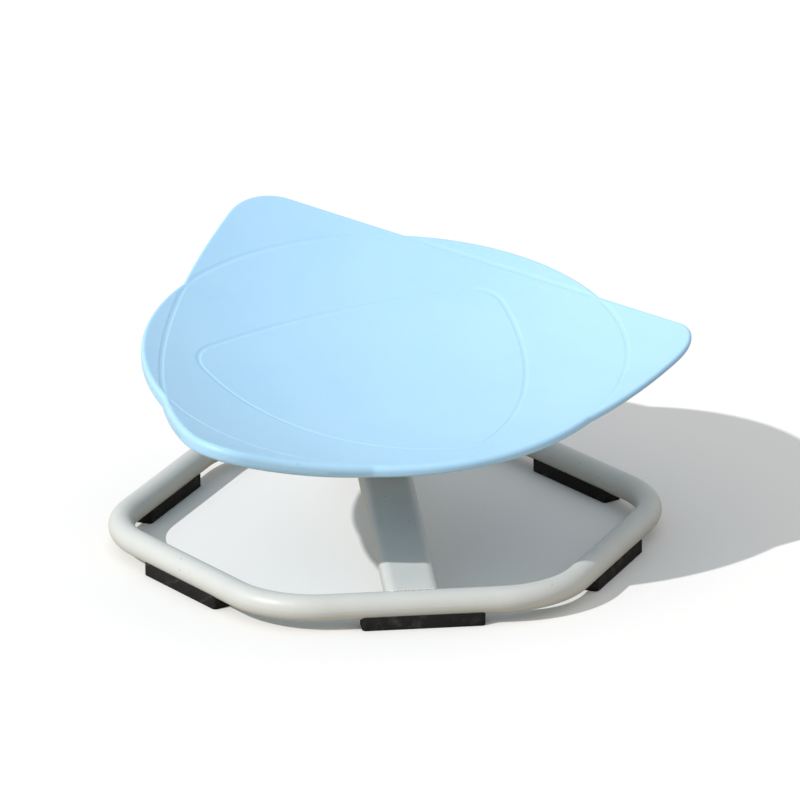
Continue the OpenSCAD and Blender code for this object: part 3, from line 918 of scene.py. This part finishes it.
# %% Long slanting scuffs
scuffs, given, out = new_group(
    "slanting_scuffs",
    {"Scale": ("Float", 60.0), "Share": ("Float", 0.5)},
    {"Mask": "Float"},
)
place = add(scuffs, "TexCoord").outputs["Object"]
laid = add(scuffs, "Mapping", {"vector_type": "TEXTURE"}, Vector=place,
           Rotation=(0.85, 0.75, 0.0), Scale=(1.0, 1.0, 7.0))
lines = add(scuffs, "TexNoise", Vector=laid.outputs["Vector"],
            Scale=given.outputs["Scale"], Detail=6.0, Roughness=0.75)
zone = add(scuffs, "TexNoise", Vector=place, Scale=28.0, Detail=2.0)
streaks = ramp(scuffs, lines.outputs["Fac"], 0.50, 0.66)
here = maths(scuffs, "MULTIPLY", streaks, ramp(scuffs, zone.outputs["Fac"], 0.38, 0.58))
scuffs.links.new(maths(scuffs, "MULTIPLY", here, given.outputs["Share"], True), out.inputs["Mask"])
print("group", scuffs.name)

# %% [markdown]
# A turned face carries fine rings round the axis it was turned on, which for the hub is
# the axis that the seat spins on. Shells round one point of that axis give such rings on
# flat ends and on round walls alike. The brass inserts share them, though each was turned
# on an axis of its own.

# %% Turning marks round the spin axis
turned, given, out = new_group(
    "turning_marks",
    {"Pitch": ("Float", 2500.0)},
    {"Height": "Float"},
)
place = add(turned, "TexCoord").outputs["Object"]
unlean = add(turned, "Mapping", {"vector_type": "TEXTURE"}, Vector=place,
             Location=tuple(spin["pos_m"]), Rotation=(lean, 0.0, 0.0))
rings_tex = add(turned, "TexWave", {"wave_type": "RINGS", "rings_direction": "SPHERICAL"},
                Vector=unlean.outputs["Vector"], Scale=given.outputs["Pitch"], Distortion=0.6, Detail=2.0)
turned.links.new(rings_tex.outputs["Fac"], out.inputs["Height"])
print("group", turned.name)

# %% [markdown]
# ## Finishes
#
# Each finish starts from one Principled shader. Numbers that are the same all over, such
# as the sheen or the index of refraction, are set on the shader. Only what changes over
# the surface comes from the groups.

# %% Helpers for finishes
def new_finish(name, **constants):
    material = bpy.data.materials.new(name)
    material.use_nodes = True
    tree = material.node_tree
    shader = tree.nodes["Principled BSDF"]
    for key, value in constants.items():
        shader.inputs[key.replace("_", " ")].default_value = value
    return material, tree, shader


def place_group(tree, group, **inputs):
    node = tree.nodes.new("ShaderNodeGroup")
    node.node_tree = group
    for key, value in inputs.items():
        socket = node.inputs[key]
        if isinstance(value, bpy.types.NodeSocket):
            tree.links.new(value, socket)
        else:
            socket.default_value = value
    return node


def add_bump(tree, shader, height, distance, strength=1.0, normal=None):
    bump = add(tree, "Bump", Height=height, Strength=strength, Distance=distance)
    if normal is not None:
        tree.links.new(normal, bump.inputs["Normal"])
    tree.links.new(bump.outputs["Normal"], shader.inputs["Normal"])


def vary_roughness(tree, shader, factor, low, high):
    node = add(tree, "MapRange", Value=factor)
    node.inputs["To Min"].default_value = low
    node.inputs["To Max"].default_value = high
    tree.links.new(node.outputs["Result"], shader.inputs["Roughness"])


# %% [markdown]
# The seat is moulded polyethylene or a plastic like it: an even light blue, satin, with a
# fine grain from the mould and hardly any scratches.

# %% Seat plastic
plastic, tree, shader = new_finish("moulded_blue_plastic", IOR=1.5, Specular_IOR_Level=0.45,
    Subsurface_Weight=0.25, Subsurface_Radius=(0.3, 0.7, 1.0), Subsurface_Scale=0.005)
fine = place_group(tree, grain, Scale=1400.0, Coarse=0.5)
tone = place_group(tree, drift, Light=(0.430, 0.700, 0.945, 1), Dark=(0.405, 0.682, 0.935, 1), Scale=7.0)
marks = place_group(tree, scuffs, Scale=45.0, Share=0.06)
lit = blend_colour(tree, marks.outputs["Mask"], tone.outputs["Color"], (0.56, 0.79, 0.96, 1))
tree.links.new(lit, shader.inputs["Base Color"])
vary_roughness(tree, shader, fine.outputs["Tone"], 0.40, 0.52)
add_bump(tree, shader, fine.outputs["Height"], 0.00006, 0.5)
print(plastic.name)

# %% [markdown]
# The frame is powder coated in light grey. Powder melts into a skin with a faint orange
# peel. Its grey drifts a little, it has dark specks and a film of dust, and it is rubbed on
# its edges.

# %% Frame paint
paint, tree, shader = new_finish("light_grey_powder_coat", IOR=1.5, Specular_IOR_Level=0.5)
peel = place_group(tree, grain, Scale=650.0, Coarse=0.8)
tone = place_group(tree, drift, Light=(0.630, 0.655, 0.642, 1), Dark=(0.580, 0.605, 0.592, 1), Scale=12.0)
edge = place_group(tree, worn, Radius=0.0008, Amount=0.25)
dots = place_group(tree, specks, Scale=95.0, Size=0.054, Share=0.6)
dusty = place_group(tree, dust, Amount=0.18, Scale=60.0)
colour = blend_colour(tree, edge.outputs["Mask"], tone.outputs["Color"], (0.70, 0.71, 0.70, 1))
colour = blend_colour(tree, dusty.outputs["Mask"], colour, (0.62, 0.60, 0.55, 1))
colour = blend_colour(tree, maths(tree, "MULTIPLY", dots.outputs["Mask"], 0.9), colour, (0.10, 0.10, 0.11, 1))
tree.links.new(colour, shader.inputs["Base Color"])
vary_roughness(tree, shader, peel.outputs["Tone"], 0.34, 0.50)
add_bump(tree, shader, peel.outputs["Height"], 0.00010, 0.6, edge.outputs["Normal"])
print(paint.name)

# %% [markdown]
# The feet are black rubber, matt and a little dusty, with paler slanting scuffs.

# %% Foot rubber
rubber, tree, shader = new_finish("black_foot_rubber", IOR=1.48, Specular_IOR_Level=0.22)
fine = place_group(tree, grain, Scale=1100.0, Coarse=0.6)
tone = place_group(tree, drift, Light=(0.014, 0.014, 0.014, 1), Dark=(0.008, 0.008, 0.008, 1), Scale=40.0)
marks = place_group(tree, scuffs, Scale=75.0, Share=0.60)
dusty = place_group(tree, dust, Amount=0.12, Scale=90.0)
colour = blend_colour(tree, marks.outputs["Mask"], tone.outputs["Color"], (0.065, 0.065, 0.066, 1))
colour = blend_colour(tree, dusty.outputs["Mask"], colour, (0.11, 0.105, 0.095, 1))
tree.links.new(colour, shader.inputs["Base Color"])
vary_roughness(tree, shader, fine.outputs["Tone"], 0.62, 0.82)
add_bump(tree, shader, fine.outputs["Height"], 0.00012, 0.8)
print(rubber.name)


# %% [markdown]
# The hub's metals differ in colour and in how they were made: turned steel and brass show
# fine rings, ground bearing steel is the glossiest, and zinc plate is cool, cloudy and a
# little dull.

# %% Metals
def metal_finish(name, light, dark, low, high, rings=0.0, bump=0.00002):
    material, tree, shader = new_finish(name, Metallic=1.0)
    tone = place_group(tree, drift, Light=(*light, 1), Dark=(*dark, 1), Scale=60.0)
    edge = place_group(tree, worn, Radius=0.0003, Amount=0.5)
    fine = place_group(tree, grain, Scale=1800.0, Coarse=0.3)
    pale = tuple(min(1.0, 1.15 * v) for v in light)
    colour = blend_colour(tree, edge.outputs["Mask"], tone.outputs["Color"], (*pale, 1))
    tree.links.new(colour, shader.inputs["Base Color"])
    vary_roughness(tree, shader, tone.outputs["Fac"], low, high)
    height = fine.outputs["Height"]
    if rings:
        marks = place_group(tree, turned, Pitch=rings)
        height = maths(tree, "ADD", height, marks.outputs["Height"])
    add_bump(tree, shader, height, bump, 0.6, edge.outputs["Normal"])
    return material


machined = metal_finish("turned_steel", (0.60, 0.59, 0.57), (0.50, 0.49, 0.47), 0.28, 0.42, 1600.0)
ground = metal_finish("ground_bearing_steel", (0.68, 0.68, 0.69), (0.60, 0.60, 0.61), 0.12, 0.22)
zinc = metal_finish("zinc_plate", (0.66, 0.68, 0.70), (0.54, 0.56, 0.58), 0.30, 0.48, 0.0, 0.00003)
brass = metal_finish("insert_brass", (0.80, 0.62, 0.32), (0.68, 0.50, 0.24), 0.26, 0.40, 1200.0)
print(machined.name, ground.name, zinc.name, brass.name)


# %% [markdown]
# The bearing cages are natural nylon, cream and satin. The seals are black rubber. One
# recipe makes both, with other tones and another gloss.

# %% Cage nylon and seal rubber
def soft_finish(name, light, dark, low, high):
    material, tree, shader = new_finish(name, IOR=1.5)
    fine = place_group(tree, grain, Scale=1500.0, Coarse=0.5)
    tone = place_group(tree, drift, Light=(*light, 1), Dark=(*dark, 1), Scale=80.0)
    edge = place_group(tree, worn, Radius=0.0002, Amount=0.3)
    tree.links.new(tone.outputs["Color"], shader.inputs["Base Color"])
    vary_roughness(tree, shader, fine.outputs["Tone"], low, high)
    add_bump(tree, shader, fine.outputs["Height"], 0.00004, 0.6, edge.outputs["Normal"])
    return material


nylon = soft_finish("cage_nylon", (0.78, 0.75, 0.66), (0.68, 0.65, 0.56), 0.40, 0.55)
seal = soft_finish("seal_rubber", (0.030, 0.030, 0.032), (0.018, 0.018, 0.020), 0.45, 0.62)
print(nylon.name, seal.name)

# %% [markdown]
# Each piece takes the finish of its slot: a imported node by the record, and a piece made
# here by the slot that it was given.

# %% Give every piece its finish
finishes = {
    "frame_paint": paint, "seat_plastic": plastic, "foot_rubber": rubber, "machined_steel": machined,
    "bearing_steel": ground, "zinc_plate": zinc, "cage_nylon": nylon, "seal_rubber": seal,
    "insert_brass": brass,
}
slot_of = {part["node"]: part["material_slot"] for part in frame["record"]["subparts"]}


def dress(piece, material):
    if not piece.data.materials:
        piece.data.materials.append(material)
    for index in range(len(piece.data.materials)):
        piece.data.materials[index] = material


for name, node in nodes.items():
    dress(node, finishes[slot_of[name]])
for piece in [seat, bolts, front_bead, rear_bead, post_bead, hub_bead] + feet:
    dress(piece, finishes[piece["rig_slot"]])
print("finishes given to", len(nodes), "nodes")

# %% [markdown]
# ## Floor, light and camera
#
# The object stands on a plain pale floor that runs far behind it. One hard light from the
# left and a little from the front makes the crisp shadows, and a soft pale sky fills them.
#
# The floor shows pale to the camera. What it throws back up at the object is duller and
# warmer, as from a wooden floor.

# %% Floor
floor_mesh = bpy.data.meshes.new("floor")
reach = 8.0
corners = [(-reach, -reach, 0), (reach, -reach, 0), (reach, reach, 0), (-reach, reach, 0)]
floor_mesh.from_pydata(corners, [], [(0, 1, 2, 3)])
floor = bpy.data.objects.new("floor", floor_mesh)
scene.collection.objects.link(floor)
floor_paint, tree, shader = new_finish("pale_floor", Roughness=0.8, Specular_IOR_Level=0.1)
seen = add(tree, "LightPath").outputs["Is Camera Ray"]
shown = blend_colour(tree, seen, (0.52, 0.455, 0.37, 1), (0.94, 0.937, 0.93, 1))
tree.links.new(shown, shader.inputs["Base Color"])
floor_mesh.materials.append(floor_paint)
print("floor", 2 * reach, "m across")

# %% Light
key = bpy.data.objects.new("key_light", bpy.data.lights.new("key_light", "SUN"))
key.data.energy = 2.6
key.data.angle = math.radians(0.9)
key.data.color = (1.0, 0.99, 0.97)
towards_light = Vector((-0.715, -0.304, 0.629)).normalized()
key.rotation_euler = towards_light.to_track_quat("Z", "Y").to_euler()
scene.collection.objects.link(key)
world = bpy.data.worlds.new("soft_sky")
world.use_nodes = True
world.node_tree.nodes["Background"].inputs["Color"].default_value = (0.985, 0.995, 1.0, 1)
world.node_tree.nodes["Background"].inputs["Strength"].default_value = 0.62
scene.world = world
scene.view_settings.view_transform = "Standard"
print("light", [round(v, 3) for v in towards_light])

# %% [markdown]
# The camera stands well back with a long lens, so the near and far sides of the ring look
# almost alike in size. It aims about 13 cm above the middle of the ring, and is rolled by
# a third of a degree.

# %% Camera
camera = bpy.data.objects.new("camera", bpy.data.cameras.new("camera"))
scene.collection.objects.link(camera)
camera.data.sensor_width = 36
camera.data.lens = 319.42
camera.data.clip_end = 60
aim_right, aim_up, roll = 0.0021, 0.0192, -0.0052
stand = Vector((-0.70383, -6.28054, 2.42220))
up_z = Vector((0, 0, 1))
aim_at_middle = -stand.normalized()
right = aim_at_middle.cross(up_z).normalized()
over = right.cross(aim_at_middle)
ahead = (aim_at_middle + math.tan(aim_right) * right + math.tan(aim_up) * over).normalized()
right = ahead.cross(up_z).normalized()
over = right.cross(ahead)
turned_right = right * math.cos(roll) + over * math.sin(roll)
turned_over = over * math.cos(roll) - right * math.sin(roll)
camera.matrix_world = Matrix.Translation(stand) @ Matrix(
    (turned_right, turned_over, -ahead)
).transposed().to_4x4()
scene.camera = camera
print("camera at", [round(v, 3) for v in stand])
